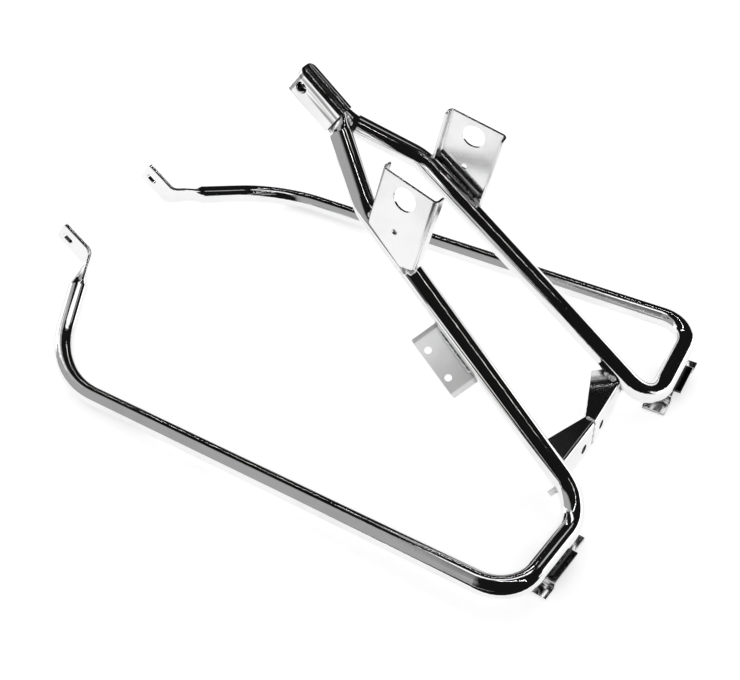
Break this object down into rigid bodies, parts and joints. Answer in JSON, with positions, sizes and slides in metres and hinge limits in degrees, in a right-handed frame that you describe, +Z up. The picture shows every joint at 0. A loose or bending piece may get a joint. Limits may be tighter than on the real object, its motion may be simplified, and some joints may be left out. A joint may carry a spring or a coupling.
{
  "type": "pannier frame",
  "caption": "Motorbike pannier frame of bent chromed tube: side loops carry the bags, with upright plates, side trays, a cross bracket, standing feet and slotted ears to bolt it on.",
  "frame": {"origin": "middle of the nose bolt hole, where both side tubes meet at the top", "axes": "+X to the frame's right along the nose bolt, +Y forward to the slotted ears, +Z up"},
  "size_m": [0.4026, 0.6316, 0.317],
  "materials": {
    "chrome_tube": "polished",
    "chrome_sheet": "polished"
  },
  "bodies": {
    "root": {"right_tube": "chrome_tube", "left_tube": "chrome_tube", "nose_strap": "chrome_sheet", "right_upright_plate": "chrome_sheet", "right_side_tray": "chrome_sheet", "right_rear_foot": "chrome_sheet", "right_rail_lug": "chrome_sheet", "left_upright_plate": "chrome_sheet", "left_side_tray": "chrome_sheet", "left_rear_foot": "chrome_sheet", "left_rail_lug": "chrome_sheet", "cross_bracket": "chrome_sheet"}
  },
  "joints": []
}
